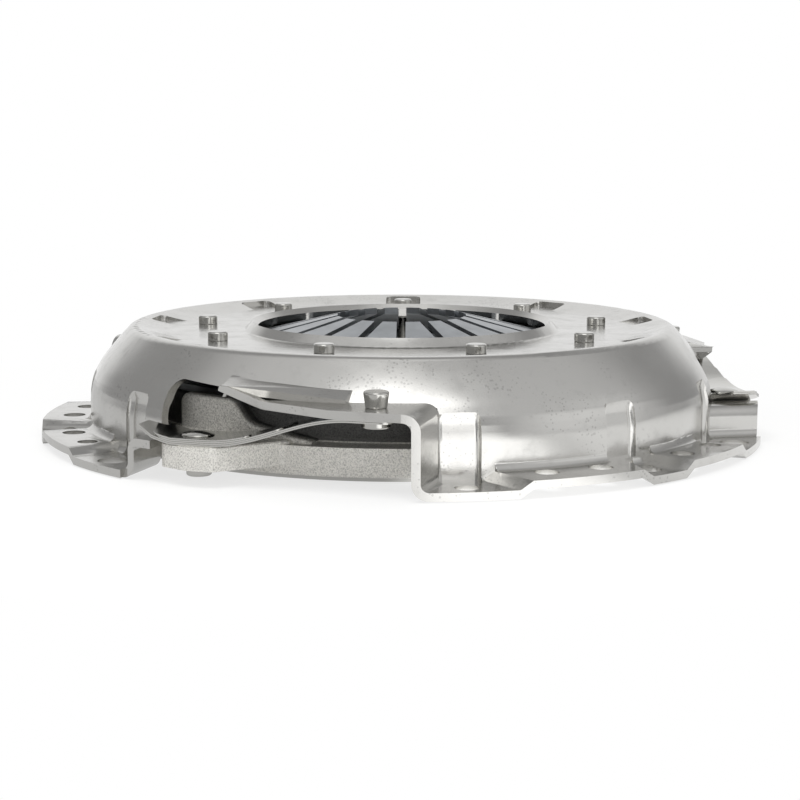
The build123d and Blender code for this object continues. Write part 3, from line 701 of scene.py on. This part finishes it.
def soft_studio():
    """A world with a white background, whose soft panels only shiny surfaces show."""
    world = bpy.data.worlds.new("soft_studio")
    world.use_nodes = True
    tree = world.node_tree
    tree.nodes.clear()
    output = add_node(tree, "ShaderNodeOutputWorld")
    direction = add_node(tree, "ShaderNodeTexCoord").outputs["Generated"]
    path = add_node(tree, "ShaderNodeLightPath")
    mirrored = add_node(
        tree, "ShaderNodeMath", {"operation": "MAXIMUM"},
        _0=path.outputs["Is Glossy Ray"], _1=path.outputs["Is Transmission Ray"],
    )
    soft = add_node(
        tree, "ShaderNodeMix", {"data_type": "FLOAT"},
        _0=mirrored, _2=SKY, _3=panel_light(tree, direction),
    )
    strength = add_node(
        tree, "ShaderNodeMix", {"data_type": "FLOAT"},
        _0=path.outputs["Is Camera Ray"], _2=soft, _3=1.0,
    )
    sky = add_node(tree, "ShaderNodeBackground", Color=(1, 1, 1, 1), Strength=strength)
    tree.links.new(sky.outputs["Background"], output.inputs["Surface"])
    return world


class CLUTCH_OT_stage(bpy.types.Operator):
    """Set up the floor, the soft light and the camera"""
    bl_idname = "clutch.stage"
    bl_label = "Stage"

    def execute(self, context):
        settings = context.scene.clutch_stage
        self.floor(settings)
        context.scene.world = soft_studio()
        context.scene.view_settings.view_transform = "Standard"
        self.lamp(context, settings)
        self.camera(context)
        return {"FINISHED"}

    def floor(self, settings):
        bpy.ops.object.select_all(action="DESELECT")
        bpy.ops.mesh.primitive_circle_add(
            vertices=96, radius=settings.radius, fill_type="NGON", location=(0, 0, -0.5 * MM)
        )
        floor = bpy.context.object
        floor.name = "floor"
        bpy.ops.object.transform_apply(location=True, rotation=False, scale=False)
        floor.data.materials.append(pale_floor(settings))

    def lamp(self, context, settings):
        data = bpy.data.lights.new("soft_lamp", "AREA")
        data.shape = "RECTANGLE"
        data.size = 0.9
        data.size_y = 0.5
        data.energy = settings.lamp
        lamp = bpy.data.objects.new("soft_lamp", data)
        context.scene.collection.objects.link(lamp)
        lamp.location = CAMERA_TURN @ Vector((-0.15, -0.55, 1.05))
        lamp.rotation_euler = (-lamp.location).to_track_quat("-Z", "Y").to_euler()
        # its rectangle would show in the plating
        lamp.visible_glossy = False

    def camera(self, context):
        tilt, roll = radians(8.988), radians(0.1061)
        forward = CAMERA_TURN @ Vector((0, cos(tilt), -sin(tilt)))
        up = CAMERA_TURN @ Vector((0, sin(tilt), cos(tilt)))
        right = CAMERA_TURN @ Vector((1, 0, 0))
        right, up = cos(roll) * right + sin(roll) * up, cos(roll) * up - sin(roll) * right
        place = Vector((0, 0, 12.14 * MM)) - 801.82 * MM * forward - 0.6303 * MM * right
        data = bpy.data.cameras.new("camera")
        data.sensor_width = 36
        data.lens = 85.185
        data.clip_start = 0.01
        camera = bpy.data.objects.new("camera", data)
        context.scene.collection.objects.link(camera)
        axes = Matrix((right, up, -forward)).transposed().to_4x4()
        camera.matrix_world = Matrix.Translation(place) @ axes
        context.scene.camera = camera


OPERATORS = (
    CLUTCH_OT_cover,
    CLUTCH_OT_casting,
    CLUTCH_OT_spring,
    CLUTCH_OT_straps,
    CLUTCH_OT_rivets,
    CLUTCH_OT_stage,
)


class CLUTCH_PT_panel(bpy.types.Panel):
    """Lists the pieces of the clutch cover assembly"""
    bl_idname = "CLUTCH_PT_panel"
    bl_label = "Clutch Pressure Plate"
    bl_space_type = "VIEW_3D"
    bl_region_type = "UI"
    bl_category = "Clutch"

    def draw(self, context):
        for group, operator in zip(SETTINGS, OPERATORS):
            box = self.layout.box()
            box.operator(operator.bl_idname)
            settings = getattr(context.scene, group)
            for name in SETTINGS[group].__annotations__:
                box.prop(settings, name)


CLASSES = (*SETTINGS.values(), *OPERATORS, CLUTCH_PT_panel)


def register():
    for item in CLASSES:
        bpy.utils.register_class(item)
    for group, kind in SETTINGS.items():
        setattr(bpy.types.Scene, group, PointerProperty(type=kind))


def unregister():
    for group in SETTINGS:
        delattr(bpy.types.Scene, group)
    for item in reversed(CLASSES):
        bpy.utils.unregister_class(item)


def main():
    register()
    bpy.ops.clutch.cover()
    bpy.ops.clutch.casting()
    bpy.ops.clutch.spring()
    bpy.ops.clutch.straps()
    bpy.ops.clutch.rivets()
    bpy.ops.clutch.stage()


if __name__ == "__main__":
    main()
